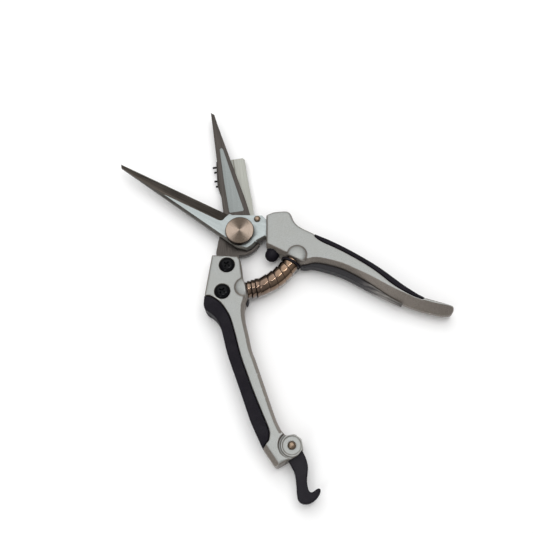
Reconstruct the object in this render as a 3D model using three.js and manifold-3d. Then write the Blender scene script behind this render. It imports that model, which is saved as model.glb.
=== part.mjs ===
// Straight-blade pruning shears with a bronze-coloured volute spring and a hook latch on the lower handle.
//
// Units are millimetres. +Z is the pivot axis and points to the front face. The origin is on the pivot axis
// in the plane that the shears lie on. +Y points to the blade tips, midway between the open blades.
//
// Each half is drawn with its cutting edge parallel to +Y, as it stands when the edges are parallel, and
// then turned about the pivot by half of the opening angle. The upper half carries the front blade, the
// lower half the rear blade.

import * as THREE from 'three';
import { mergeVertices } from 'three/addons/utils/BufferGeometryUtils.js';
import Module from 'manifold-3d';

const wasm = await Module();
wasm.setup();

// ---- Driving dimensions ------------------------------------------------

const GAP = 0.3; // clearance between pieces that touch
const OPEN_ANGLE = 54.4; // degrees between the two cutting edges when the shears stand open
const CLOSE_TRAVEL = 44; // degrees that the upper half turns to close the shears

const BLADE_LENGTH = 83.4; // pivot to the front blade's tip
const REAR_TIP_BACK = 2.4; // the rear blade's tip stops this much short of the front one's
const BLADE_THICKNESS = 3;
const HANDLE_THICKNESS = 13;
const HANDLE_EDGE = 1.3; // radius along the outer edges of the castings
const PLATE_GAP = 0.3; // running gap between the two blades

const FRONT_EDGE_X = 7.3; // the front blade's cutting edge, past the pivot
const FRONT_BEVEL = 6.2; // width of the ground bevel on the front blade
const FRONT_HEEL_Y = 11.9; // where the bevel stops, short of the pivot
const FRONT_TIP_WIDTH = 2.2;
const FRONT_TIP_DROP = 1.9; // the tip is cut off over this length
const SPINE_CHAMFER = 1.3; // chamfer along the front blade's spine and round its pivot plate
const SPINE_DROP = 0.9;
const REAR_EDGE_X = -8;
const REAR_BEVEL = 2.2;
const REAR_HEEL_Y = 13;
const REAR_TIP_WIDTH = 1.9;
const HEEL_RUN_OUT = 2.2; // how much nearer the pivot a bevel ends at its cutting edge
const EDGE_LAND = 0.4; // thickness left at a cutting edge
const PANEL_DEPTH = 0.3; // sunk panel on the rear blade

const BOLT_HEAD_RADIUS = 8;
const BOLT_HEAD_HEIGHT = 3.4;
const BOLT_RADIUS = 4;
const BUSH_WALL = 0.9;
const WASHER_THICKNESS = 0.5;
const WASHER_RADIUS = 7;
const NUT_ACROSS_CORNERS = 13;

const SCREW_HEAD_RADIUS = 4;
const SCREW_HEAD_HEIGHT = 2.1;
const SCREW_RADIUS = 2.2;
const SCREW_RECESS = 1.5; // depth of the recess that a front screw's head sits in
const SCREW_TIP_WALL = 1.3; // casting left past the tip of a screw
const DRIVER_SLOT_DEPTH = 1.2;
const DRIVER_TURN = 0.5; // radians that the driver recess is turned from the handle's line

const GRIP_INSET = 0.4; // the grips stand this far back from the faces of the castings
const GRIP_ROUND = 0.6; // radius along the edges of the grips
const STRIP_THICKNESS = 1.1; // plastic strip along the upper handle's inner wall
const STRIP_SWELL = 2; // added to it half way along
const SLIVER_THICKNESS = 0.6; // the short strip on the lower handle
const STRIP_HEIGHT = 5.6;

const SPRING_RADIUS_FROM_PIVOT = 33;
const SPRING_END_RADIUS = 4.1;
const SPRING_MID_RADIUS = 5.5;
const SPRING_BORE_RADIUS = 2.7;
const SPRING_TURNS = 9;
const POCKET_DEPTH = 6.6;
const POCKET_CLEARANCE = 0.7;
const SPRING_SEAT_DEPTH = 4.6; // how far each end of the spring reaches into its pocket
const DOME_RADIUS = 5.6;
const DOME_HEIGHT = 1.8;
const DOME_SUNK = 0.6; // how far the ball of a dome is centred below the face
const DOME_EDGE = 0.6; // a dome stops this far inside the casting's outline
const UPPER_DOME_AT = new THREE.Vector2(1.4, -34.8);
const LOWER_DOME_AT = new THREE.Vector2(-1.4, -33.4);
const SEAT_REACH = 1.2; // how far the plastic seat round the spring stands out of the upper handle
const SEAT_WALL = 0.7;
const SEAT_CLEARANCE = 0.2; // added to the pocket's radius inside the seat

const BUMPER_RADIUS = 3.8;
const BUMPER_FROM_PIVOT = 21.6;
const BUMPER_LENGTH = 6.2;
const BUMPER_DISH_DEPTH = 1.4; // hollow in the lower handle where the bumper lands
const BUMPER_DISH_ROOM = 0.6;
const BUMPER_GAP = 0.25; // left between the bumper and the lower handle with the shears closed

const STOP_PIN_RADIUS = 1.6;
const STOP_PIN_HEAD_RADIUS = 1.75;
const STOP_PIN_HEAD_HEIGHT = 1.1;
const STOP_PIN_AT = new THREE.Vector2(11.6, -4.6);

const FLANK_WIDTH = 2; // sloped flank along the inner wall of the upper handle
const FLANK_DEPTH = 3.2;
const LOWER_FLANK_WIDTH = 1.7;
const END_FLANK_WIDTH = 2.6; // outer flank at the latch's end of the lower handle
const END_FLANK_DEPTH = 2.4;
const FAR_FLANK_WIDTH = 5; // the flank widens to this at the upper handle's far end
const FAR_FLANK_DEPTH = 5.4;

const BAR_THICKNESS = 1.9;
const BAR_LENGTH = 40;
const BAR_TOP_Y = 49.6;
const BAR_PIN_RADIUS = 0.6;
const BAR_PIN_LENGTH = 5.2;
const BAR_PIN_DROPS = [3.2, 6.4, 12.2, 15.6]; // distance of each pin below the top edge of the bar
const BAR_PIN_TIP_X = -11.1;
const BAR_PIN_STAGGER = 0.5; // every other pin stands out this much less
const BAR_RIVET_RADIUS = 1.3;
const BAR_RIVET_DEPTH = 1.6; // how far a rivet reaches into the rear blade
const BAR_RIVETS_AT = [new THREE.Vector2(-1.5, 20), new THREE.Vector2(-3.2, 40)];

const LATCH_AT = new THREE.Vector2(11.8, -119.3);
const LATCH_BOSS_RADIUS = 5.8;
const LATCH_POCKET_RADIUS = 6.9;
const LATCH_HUB_RADIUS = 5.1;
const LATCH_HOOK_THICKNESS = 3.8;
const LATCH_SINK = 2.8; // the boss round the latch pin lies this far below the face
const LATCH_RIM_INSET = 0.2;
const LATCH_RIM_HEIGHT = 0.6;
const LATCH_RIM_WIDTH = 0.7;
const LATCH_PIN_RADIUS = 1.5;
const LATCH_PIN_HEAD_RADIUS = 2.1;
const LATCH_PIN_HEAD_HEIGHT = 1.5;

// ---- Places worked out from them ------------------------------------------------

const MID_Z = HANDLE_THICKNESS / 2;
const LATCH_EAR_TOP = HANDLE_THICKNESS - LATCH_SINK;
const FRONT_Z = MID_Z + PLATE_GAP / 2; // underside of the front blade
const FRONT_TOP = FRONT_Z + BLADE_THICKNESS;
const REAR_TOP = MID_Z - PLATE_GAP / 2;
const REAR_Z = REAR_TOP - BLADE_THICKNESS; // underside of the rear blade
const BUSH_RADIUS = BOLT_RADIUS + GAP + BUSH_WALL;
const BLADE_BORE_RADIUS = BUSH_RADIUS + GAP;
const PIVOT_PLATE_RADIUS = BOLT_HEAD_RADIUS + 3;
const LOBE_RADIUS = BOLT_HEAD_RADIUS + 4.2; // the rear blade's stop lobe
// Edge of the rear plate where the stop pin passes it.
const STOP_FACE_RADIUS = STOP_PIN_AT.length() - STOP_PIN_RADIUS - 2 * GAP;
const CLOSED_ANGLE = THREE.MathUtils.degToRad(OPEN_ANGLE - CLOSE_TRAVEL);
const POCKET_RADIUS = SPRING_END_RADIUS + POCKET_CLEARANCE;
const BAR_TOP_Z = REAR_Z - GAP;
const BAR_Z = BAR_TOP_Z - BAR_THICKNESS;
const REAR_SCREW_RECESS = SCREW_HEAD_HEIGHT + 2 * GAP; // deep enough to sink a rear screw's head
const SHOULDER = 0.5; // corner radius on small turned pieces

// Wall of the lower handle that the bumper meets, and of the upper handle that carries the bumper.
const LOWER_WALL_X = -1.7;
const UPPER_WALL_X = -1.6;

// ---- Solids ------------------------------------------------

const v2 = (x, y) => new THREE.Vector2(x, y);
const points = (pairs) => pairs.map(([x, y]) => v2(x, y));

// A closed geometry as a solid that can be cut and joined.
function solid(geometry) {
  const bare = geometry.clone();
  bare.deleteAttribute('normal');
  bare.deleteAttribute('uv');
  const merged = mergeVertices(bare, 1e-4);
  const corners = merged.index.array;
  const kept = [];
  for (let i = 0; i < corners.length; i += 3) {
    const [a, b, c] = [corners[i], corners[i + 1], corners[i + 2]];
    if (a !== b && b !== c && c !== a) kept.push(a, b, c);
  }
  const mesh = new wasm.Mesh({
    numProp: 3,
    vertProperties: Float32Array.from(merged.attributes.position.array),
    triVerts: Uint32Array.from(kept),
  });
  return new wasm.Manifold(mesh);
}

// A solid back as a geometry that three.js can show.
function geometryOf(body) {
  const mesh = body.getMesh();
  const geometry = new THREE.BufferGeometry();
  geometry.setAttribute('position', new THREE.BufferAttribute(mesh.vertProperties, 3));
  geometry.setIndex(new THREE.BufferAttribute(mesh.triVerts, 1));
  geometry.computeVertexNormals();
  return geometry;
}

// A straight-sided solid over an outline, from z0 to z1, with the outline grown all round by grow.
function prism(shape, z0, z1, { grow = 0, segments = 2 } = {}) {
  const geometry = new THREE.ExtrudeGeometry(shape, {
    depth: z1 - z0,
    curveSegments: segments,
    bevelEnabled: true,
    bevelSegments: 0,
    bevelThickness: 0,
    bevelSize: 0,
    bevelOffset: grow,
  });
  return solid(geometry.translate(0, 0, z0));
}

// A prism with rounded or chamfered rims: the outline is its widest section.
function roundedPrism(shape, z0, z1, radius, { steps = 2, segments = 2 } = {}) {
  const geometry = new THREE.ExtrudeGeometry(shape, {
    depth: z1 - z0 - 2 * radius,
    curveSegments: segments,
    bevelEnabled: true,
    bevelSegments: steps,
    bevelThickness: radius,
    bevelSize: radius,
    bevelOffset: -radius,
  });
  return solid(geometry.translate(0, 0, z0 + radius));
}

// A round piece on the Z axis from a profile of [radius, z] pairs that starts and ends on the axis,
// or closes on itself, and runs from low to high on its outside.
function turned(profile, segments = 28) {
  const geometry = new THREE.LatheGeometry(points(profile), segments);
  return solid(geometry.rotateX(Math.PI / 2));
}

const drum = (radius, z0, z1, segments = 28) =>
  turned([[0, z0], [radius, z0], [radius, z1], [0, z1]], segments);
const at = (body, place, z = 0) => body.translate([place.x, place.y, z]);

// The same piece lying along the X axis, from x0 towards +X, at height z.
const alongX = (body, x0, y, z) => body.rotate([0, 90, 0]).translate([x0, y, z]);

function outline(start, ...runs) {
  const shape = new THREE.Shape();
  shape.moveTo(start[0], start[1]);
  for (const run of runs) {
    if (run.spline) shape.splineThru(points(run.spline));
    else for (const corner of run) shape.lineTo(...corner);
  }
  return shape;
}

const finish = {
  groundSteel: { color: 0x6a6058, roughness: 0.4, metalness: 0.9 },
  blastedSteel: { color: 0xb4bab6, roughness: 0.5, metalness: 0.85 },
  castAluminium: { color: 0xb6bab4, roughness: 0.55, metalness: 0.6 },
  nickel: { color: 0xa5968a, roughness: 0.3, metalness: 1 },
  copper: { color: 0xc08a68, roughness: 0.3, metalness: 1 },
  bronze: { color: 0x8a6a4c, roughness: 0.2, metalness: 1 },
  blackRubber: { color: 0x201e22, roughness: 0.7, metalness: 0 },
  blackPlastic: { color: 0x1e1c20, roughness: 0.45, metalness: 0 },
  blackScrew: { color: 0x16161a, roughness: 0.3, metalness: 0.7 },
  barAluminium: { color: 0xc3c4bc, roughness: 0.5, metalness: 0.6 },
};

function piece(name, body, look) {
  const mesh = new THREE.Mesh(geometryOf(body), new THREE.MeshStandardMaterial(finish[look]));
  mesh.name = name;
  return mesh;
}

// ---- Outlines that more than one piece uses ------------------------------------------------

// Mid-height inner wall of each handle, from the pivot end to the far end.
const UPPER_WALL = [
  [UPPER_WALL_X, -17.4], [UPPER_WALL_X, -26], [UPPER_WALL_X, -39], [0.2, -41.8], [2.9, -45], [4.6, -50],
  [5.9, -56], [6.6, -63], [6, -73], [4.8, -82.6], [3.7, -90], [3.3, -97], [3.8, -104], [5, -111],
  [6.7, -117.8],
];
const LOWER_WALL = [
  [LOWER_WALL_X, -17], [LOWER_WALL_X, -28], [-0.4, -31.6], [-0.4, -38.4], [-3, -44], [-3.4, -50.8],
  [-2.7, -58.4], [-2, -67.3], [-0.5, -74], [2.6, -89.9], [5.7, -105.4], [7.6, -111.3],
];
// The short stretch that is lined below the spring.
const LOWER_SLIVER = [[-0.8, -39.4], [-1.4, -40.7], [-2.1, -42.2]];
// Seam between each casting and its grip, and the outer edge that the grip gives the handle.
const UPPER_SEAM = [
  [16.9, -37.4], [15.5, -38.8], [14.7, -42], [14.6, -46], [14.7, -51.6], [14.5, -58.6], [13.6, -69.3],
  [12, -79], [9.9, -87], [8.8, -94.9], [8.7, -101], [9.2, -105.2], [10.5, -106.2],
];
const UPPER_OUTER = [
  [17.4, -46.9], [17.2, -57.4], [16.4, -68], [15.2, -77.7], [13.6, -85.4], [11.8, -94], [10.7, -102],
];
const LOWER_SEAM = [
  [-23.4, -34.8], [-20.3, -35.4], [-17.5, -37.6], [-14.6, -41], [-11.8, -46.8], [-10.6, -51.6],
  [-9.6, -58.4],
  [-8.5, -67.6], [-7.2, -75], [-4.2, -88.6], [-1.3, -100], [0.5, -106.6], [1.5, -111.6], [0.6, -115.4],
  [-2.9, -118.8],
];
// Corner at the far end of the lower handle, and the line that its sloped outer flank follows.
const LOWER_CORNER = [[1.7, -128], [2.4, -128.7], [3.4, -128.6]];
const LOWER_END_LINE = [[-4.5, -115.6], LOWER_SEAM.at(-1), LOWER_CORNER[0], [3.4, -131.4]];
const LOWER_OUTER = [
  [-24.3, -40], [-23.2, -43], [-19.9, -46], [-17.4, -50.6], [-16.2, -56], [-15.1, -66], [-13.9, -73],
  [-11.3, -85], [-7.3, -104.6],
];

function upperHandleOutline() {
  return outline(
    [14.9, -8.7],
    { spline: [[18, -11], [20, -14], [21.8, -17], [22.2, -19], [21.2, -21.2], [18.8, -23.8], [17.3, -27],
      [16.8, -31], UPPER_SEAM[0]] },
    { spline: UPPER_OUTER },
    [UPPER_SEAM.at(-1)],
    { spline: [[11.6, -112], [12.9, -119.6], [12.6, -121.5], [11, -122.4], [8.8, -121.6],
      UPPER_WALL.at(-1)] },
    { spline: [...UPPER_WALL].reverse().slice(1, -2) },
    [UPPER_WALL[1], UPPER_WALL[0]],
  );
}

function lowerHandleOutline() {
  const boss = LATCH_BOSS_RADIUS;
  const shape = outline(
    [-16.8, -12],
    [[-20.2, -23.6], LOWER_SEAM[0]],
    { spline: LOWER_OUTER },
    [LOWER_SEAM.at(-1), ...LOWER_CORNER,
      [LATCH_AT.x + boss * 0.42, LATCH_AT.y - boss * 0.91]],
  );
  shape.absarc(LATCH_AT.x, LATCH_AT.y, boss, -1.14, 2, false);
  shape.lineTo(...LOWER_WALL.at(-1));
  shape.splineThru(points([...LOWER_WALL].reverse().slice(1, -2)));
  shape.lineTo(...LOWER_WALL[1]);
  shape.lineTo(...LOWER_WALL[0]);
  shape.lineTo(-3, -14.8);
  return shape;
}

// ---- Blades ------------------------------------------------

const FRONT_TANG_SCREWS = [v2(11, -18.6), v2(10.9, -29.8)];
const REAR_TANG_SCREWS = [v2(-9.3, -19.2), v2(-13.5, -33.9)];

// A height that keeps its share of the way up the blade.
const upBlade = (share) => BLADE_LENGTH * share;

// The front blade's pivot plate is round between these two angles, then the spine runs on to the tip.
const PLATE_FROM = -1.65;
const PLATE_TO = -2.3;
const onPlate = (angle, radius = PIVOT_PLATE_RADIUS) =>
  v2(radius * Math.cos(angle), radius * Math.sin(angle));
const PLATE_FOOT = v2(4.2, -14.3);
const FRONT_SPINE = [
  onPlate(PLATE_TO),
  onPlate(-2.86, PIVOT_PLATE_RADIUS - 2.1),
  v2(0.6, upBlade(0.664)),
  v2(FRONT_EDGE_X - FRONT_TIP_WIDTH, BLADE_LENGTH - FRONT_TIP_DROP),
];

function frontBladeOutline() {
  const shape = outline(
    [FRONT_EDGE_X, BLADE_LENGTH],
    [[FRONT_EDGE_X, 9], [14.6, -6], [13.2, -10.5], [14, -16], [14.2, -34], [7.6, -34], [7.6, -17],
      PLATE_FOOT, onPlate(PLATE_FROM)],
  );
  shape.absarc(0, 0, PIVOT_PLATE_RADIUS, PLATE_FROM, PLATE_TO, true);
  for (const { x, y } of FRONT_SPINE.slice(1)) shape.lineTo(x, y);
  return shape;
}

function rearBladeOutline() {
  const shape = outline(
    [REAR_EDGE_X, BLADE_LENGTH - REAR_TIP_BACK],
    [[REAR_EDGE_X, 12], [-12.2, -0.6], [-14.6, -8.2], [-15.2, -15], [-17.8, -30], [-16, -37],
      [-9.2, -37], [-9.2, -28], [-5, -23], [-4.5, -15.6], [-2.5, -14.4]],
  );
  shape.absarc(0, 0, LOBE_RADIUS, -1.75, -0.62, false);
  shape.absarc(0, 0, STOP_FACE_RADIUS, -0.5, 0.42, false);
  shape.lineTo(6.9, 11);
  shape.splineThru(points([[5.4, upBlade(0.251)], [2.7, upBlade(0.408)], [0.1, upBlade(0.564)],
    [-2.5, upBlade(0.719)], [-4.9, upBlade(0.863)]]));
  shape.lineTo(REAR_EDGE_X + REAR_TIP_WIDTH, BLADE_LENGTH - REAR_TIP_BACK - 1.6);
  return shape;
}

// A wedge along +Y whose slope leaves the plane Z = 0 at X = -width and has dropped by drop at X = 0.
function wedge(width, drop, length) {
  const past = 2;
  const across = width + past;
  const section = outline([0, 0], [[across, -drop * across / width], [across, past], [0, past]]);
  return prism(section, 0, length).rotate([90, 0, 0]).translate([-width, length, 0]);
}

// The wedge that grinding takes off along a cutting edge: width across, from the face at z0 to the land.
// side is 1 where the edge is on the +X side of the blade.
function grindWedge(edgeX, width, side, z0, heelY) {
  const cut = wedge(width, BLADE_THICKNESS - EDGE_LAND, BLADE_LENGTH - heelY + 2);
  return (side > 0 ? cut : cut.mirror([1, 0, 0])).translate([edgeX, heelY, z0]);
}

// Plan of the ground area: straight, with a rounded inner corner at the heel.
function grindPlan(edgeX, width, side, heelY) {
  const corner = Math.min(3, width);
  const inner = edgeX - side * width;
  const outer = edgeX + side * 3;
  const shape = new THREE.Shape();
  shape.moveTo(outer, heelY - HEEL_RUN_OUT);
  shape.lineTo(inner + side * corner, heelY);
  shape.quadraticCurveTo(inner, heelY, inner, heelY + corner);
  shape.lineTo(inner, BLADE_LENGTH + 3);
  shape.lineTo(outer, BLADE_LENGTH + 3);
  return shape;
}

function grind(edgeX, width, side, face, heelY) {
  const plan = prism(grindPlan(edgeX, width, side, heelY), 0, HANDLE_THICKNESS, { segments: 5 });
  return grindWedge(edgeX, width, side, face, heelY - HEEL_RUN_OUT - 1).intersect(plan);
}

// Chamfer along a straight stretch of the front blade's outline, with its outside on the left. It starts
// early by runIn, to meet the chamfer before it at a corner.
function edgeChamfer(from, to, runIn = 0) {
  const along = to.clone().sub(from);
  const lean = THREE.MathUtils.radToDeg(along.angle()) - 90;
  const cut = wedge(SPINE_CHAMFER, SPINE_DROP, along.length() + runIn).translate([0, -runIn, 0]);
  return at(cut.mirror([1, 0, 0]).rotate([0, 0, lean]), from, FRONT_TOP);
}

// The same chamfer round the pivot plate.
function plateChamfer() {
  const past = 2;
  const inner = PIVOT_PLATE_RADIUS - SPINE_CHAMFER;
  const outer = PIVOT_PLATE_RADIUS + past;
  const low = -SPINE_DROP * (1 + past / SPINE_CHAMFER);
  const cone = turned([[inner, 0], [outer, low], [outer, past], [inner, past], [inner, 0]], 72);
  const sector = outline([0, 0], [onPlate(PLATE_TO, 2 * outer), onPlate(PLATE_FROM, 2 * outer)]);
  return cone.intersect(prism(sector, low, past)).translate([0, 0, FRONT_TOP]);
}

function frontBlade() {
  let blade = prism(frontBladeOutline(), FRONT_Z, FRONT_TOP, { segments: 12 });
  blade = blade.subtract(grind(FRONT_EDGE_X, FRONT_BEVEL, 1, FRONT_TOP, FRONT_HEEL_Y));
  blade = blade.subtract(edgeChamfer(PLATE_FOOT, onPlate(PLATE_FROM)));
  blade = blade.subtract(plateChamfer());
  FRONT_SPINE.slice(1).forEach((to, i) => {
    blade = blade.subtract(edgeChamfer(FRONT_SPINE[i], to, 2 * SPINE_CHAMFER));
  });
  blade = blade.subtract(drum(BLADE_BORE_RADIUS, 0, HANDLE_THICKNESS));
  blade = blade.subtract(at(drum(STOP_PIN_RADIUS + GAP, 0, HANDLE_THICKNESS, 16), STOP_PIN_AT));
  for (const place of FRONT_TANG_SCREWS) {
    blade = blade.subtract(at(drum(SCREW_RADIUS + GAP, 0, HANDLE_THICKNESS, 16), place));
  }
  return blade;
}

function rearPanel() {
  const top = upBlade(0.678);
  return outline([-5.6, top - 0.8], [[-4.9, top], [-4.3, top], [-3.6, top - 0.8], [0.3, upBlade(0.415)],
    [3.7, 15.2], [3.2, 14.4], [-4.2, 14.4], [-4.7, 15.2], [-5.4, upBlade(0.426)]]);
}

function rearBlade() {
  let blade = prism(rearBladeOutline(), REAR_Z, REAR_TOP, { segments: 8 });
  const underside = grind(REAR_EDGE_X, REAR_BEVEL, -1, REAR_TOP, REAR_HEEL_Y);
  blade = blade.subtract(underside.mirror([0, 0, 1]).translate([0, 0, REAR_TOP + REAR_Z]));
  blade = blade.subtract(prism(rearPanel(), REAR_TOP - PANEL_DEPTH, HANDLE_THICKNESS));
  blade = blade.subtract(drum(BLADE_BORE_RADIUS, 0, HANDLE_THICKNESS));
  for (const place of REAR_TANG_SCREWS) {
    blade = blade.subtract(at(drum(SCREW_RADIUS + GAP, 0, HANDLE_THICKNESS, 16), place));
  }
  for (const place of BAR_RIVETS_AT) {
    blade = blade.subtract(at(drum(BAR_RIVET_RADIUS + GAP, 0, REAR_Z + BAR_RIVET_DEPTH + GAP, 16), place));
  }
  return blade;
}

// ---- Handles ------------------------------------------------

// Everything beyond a handle's inner wall, on the side that side points to, with edges that slope out by
// width over depth: taken off a casting, it leaves a sloped flank between the face and the wall.
function flankCutter(wall, side, width, depth) {
  const far = side * 30;
  const shape = outline(wall[0], { spline: wall.slice(1) }, [[far, wall.at(-1)[1]], [far, wall[0][1]]]);
  const geometry = new THREE.ExtrudeGeometry(shape, {
    depth: 4,
    curveSegments: 2,
    bevelEnabled: true,
    bevelSegments: 1,
    bevelThickness: depth,
    bevelSize: width,
    bevelOffset: 0,
  });
  const top = solid(geometry.translate(0, 0, HANDLE_THICKNESS));
  return top.add(top.mirror([0, 0, 1]).translate([0, 0, HANDLE_THICKNESS]));
}

// Raised dome on the front face over a spring pocket.
function pocketDome(place, plan) {
  const height = DOME_SUNK + DOME_HEIGHT;
  const share = Math.sqrt(1 - (DOME_SUNK / height) ** 2);
  const ball = new THREE.SphereGeometry(1, 24, 12).scale(DOME_RADIUS / share, DOME_RADIUS / share, height);
  const dome = at(solid(ball), place, HANDLE_THICKNESS - DOME_SUNK);
  return dome.intersect(prism(plan, 0, HANDLE_THICKNESS + DOME_HEIGHT, { grow: -DOME_EDGE }));
}

// Bored pocket for one end of the spring, from outside the wall at wallX to its floor. side points from the
// wall into the casting.
function springPocket(wallX, side) {
  const outside = 6;
  const bore = drum(POCKET_RADIUS, -outside, POCKET_DEPTH, 24);
  return alongX(side > 0 ? bore : bore.mirror([0, 0, 1]), wallX, -SPRING_RADIUS_FROM_PIVOT, MID_Z);
}

// Screw hole through a casting: head recess at the face, blind at the far side.
function screwHole(place, recess) {
  const bore = turned([
    [0, SCREW_TIP_WALL - GAP],
    [SCREW_RADIUS + GAP, SCREW_TIP_WALL - GAP],
    [SCREW_RADIUS + GAP, HANDLE_THICKNESS - recess],
    [SCREW_HEAD_RADIUS + GAP, HANDLE_THICKNESS - recess],
    [SCREW_HEAD_RADIUS + GAP, HANDLE_THICKNESS + 1],
    [0, HANDLE_THICKNESS + 1],
  ], 24);
  return at(bore, place);
}

const flipZ = (body) => body.mirror([0, 0, 1]).translate([0, 0, HANDLE_THICKNESS]);

// Wall line that the upper handle's flanks follow: it runs on past the far end.
const UPPER_FLANK_LINE = [...UPPER_WALL, [9.4, -123.2]];

// Wall line of the wide far flank: it starts clear of the narrow one and swings in to the wall.
function farWall() {
  const clear = FAR_FLANK_WIDTH - FLANK_WIDTH;
  return UPPER_FLANK_LINE.slice(7).map(([x, y], i) => [x - clear * Math.max(0, 1 - i / 4), y]);
}

function bumperPlace() {
  const closedX = LOWER_WALL_X - BUMPER_DISH_DEPTH + BUMPER_RADIUS + BUMPER_GAP;
  return v2(closedX, -BUMPER_FROM_PIVOT).rotateAround(v2(0, 0), -CLOSED_ANGLE);
}

// Hollow that the bumper's nose lands in when the shears close.
function bumperDish() {
  const dish = drum(BUMPER_RADIUS + BUMPER_DISH_ROOM, 0, 2 * BUMPER_RADIUS, 24);
  return alongX(dish, LOWER_WALL_X - BUMPER_DISH_DEPTH, -BUMPER_FROM_PIVOT, MID_Z);
}

const bumperSocket = ({ x, y }) =>
  alongX(drum(BUMPER_RADIUS + GAP, -2 * BUMPER_LENGTH, BUMPER_LENGTH + GAP, 24), x, y, MID_Z);

function upperHandle() {
  const plan = upperHandleOutline();
  let casting = roundedPrism(plan, 0, HANDLE_THICKNESS, HANDLE_EDGE);
  casting = casting.subtract(flankCutter(UPPER_FLANK_LINE, -1, FLANK_WIDTH, FLANK_DEPTH));
  casting = casting.subtract(flankCutter(farWall(), -1, FAR_FLANK_WIDTH, FAR_FLANK_DEPTH));
  casting = casting.add(pocketDome(UPPER_DOME_AT, plan));
  casting = casting.subtract(prism(upperGripOutline(), -1, HANDLE_THICKNESS + 2, { grow: GAP }));
  const slot = prism(frontBladeOutline(), FRONT_Z - GAP, FRONT_TOP + GAP, { grow: GAP, segments: 12 });
  casting = casting.subtract(slot);
  casting = casting.subtract(springPocket(UPPER_WALL_X, 1));
  casting = casting.subtract(bumperSocket(bumperPlace()));
  for (const place of FRONT_TANG_SCREWS) {
    casting = casting.subtract(flipZ(screwHole(place, REAR_SCREW_RECESS)));
  }
  return casting;
}

function lowerHandle() {
  const plan = lowerHandleOutline();
  let casting = roundedPrism(plan, 0, HANDLE_THICKNESS, HANDLE_EDGE);
  casting = casting.subtract(flankCutter(LOWER_WALL.slice(3), 1, LOWER_FLANK_WIDTH, FLANK_DEPTH));
  casting = casting.subtract(flankCutter(LOWER_END_LINE, -1, END_FLANK_WIDTH, END_FLANK_DEPTH));
  casting = casting.add(pocketDome(LOWER_DOME_AT, plan));
  casting = casting.subtract(prism(lowerGripOutline(), -1, HANDLE_THICKNESS + 2, { grow: GAP }));
  const slot = prism(rearBladeOutline(), REAR_Z - GAP, REAR_TOP + GAP, { grow: GAP, segments: 8 });
  casting = casting.subtract(slot);
  casting = casting.subtract(springPocket(LOWER_WALL_X, -1));
  casting = casting.subtract(bumperDish());
  for (const place of REAR_TANG_SCREWS) casting = casting.subtract(screwHole(place, SCREW_RECESS));
  return latchEnd(casting);
}

// ---- Grips, inner strips and spring seat ------------------------------------------------

function gripOutline(seam, outer) {
  const back = [...seam].reverse();
  return outline(seam[0], { spline: outer }, [back[0], back[1]], { spline: back.slice(2, -1) });
}

const upperGripOutline = () => gripOutline(UPPER_SEAM, UPPER_OUTER);
const lowerGripOutline = () => gripOutline(LOWER_SEAM, LOWER_OUTER);

const grip = (shape) =>
  roundedPrism(shape, GRIP_INSET, HANDLE_THICKNESS - GRIP_INSET, GRIP_ROUND, { steps: 1 });

// A strip that lies along a stretch of a handle's inner wall, on the side that side points to. It is
// thicker by swell half way along and thins out at its far end.
function innerStrip(wall, side, base, swell = 0) {
  const near = new THREE.SplineCurve(points(wall)).getPoints(wall.length * 2);
  const shape = new THREE.Shape();
  near.forEach((p, i) => (i ? shape.lineTo(p.x + side * GAP, p.y) : shape.moveTo(p.x + side * GAP, p.y)));
  [...near].reverse().forEach((p, i) => {
    const share = i / (near.length - 1); // 0 at the far end
    const taper = Math.min(1, 0.15 + 3 * share);
    const thickness = (base + swell * Math.sin(Math.PI * share)) * taper;
    shape.lineTo(p.x + side * (GAP + thickness), p.y);
  });
  return prism(shape, MID_Z - STRIP_HEIGHT / 2, MID_Z + STRIP_HEIGHT / 2);
}

const upperStrip = () => innerStrip(UPPER_WALL.slice(2, 12), -1, STRIP_THICKNESS, STRIP_SWELL);
const lowerStrip = () => innerStrip(LOWER_SLIVER, 1, SLIVER_THICKNESS);

// Ring round the spring where it enters the upper handle.
function springSeat() {
  const inner = POCKET_RADIUS + SEAT_CLEARANCE;
  const collar = ring(inner, inner + SEAT_WALL, 0, SEAT_REACH);
  return alongX(collar, UPPER_WALL_X - GAP - SEAT_REACH, -SPRING_RADIUS_FROM_PIVOT, MID_Z);
}

// ---- Latch ------------------------------------------------

const HOOK_Z = MID_Z - LATCH_HOOK_THICKNESS / 2;
const HOOK_TOP = MID_Z + LATCH_HOOK_THICKNESS / 2;

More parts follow.
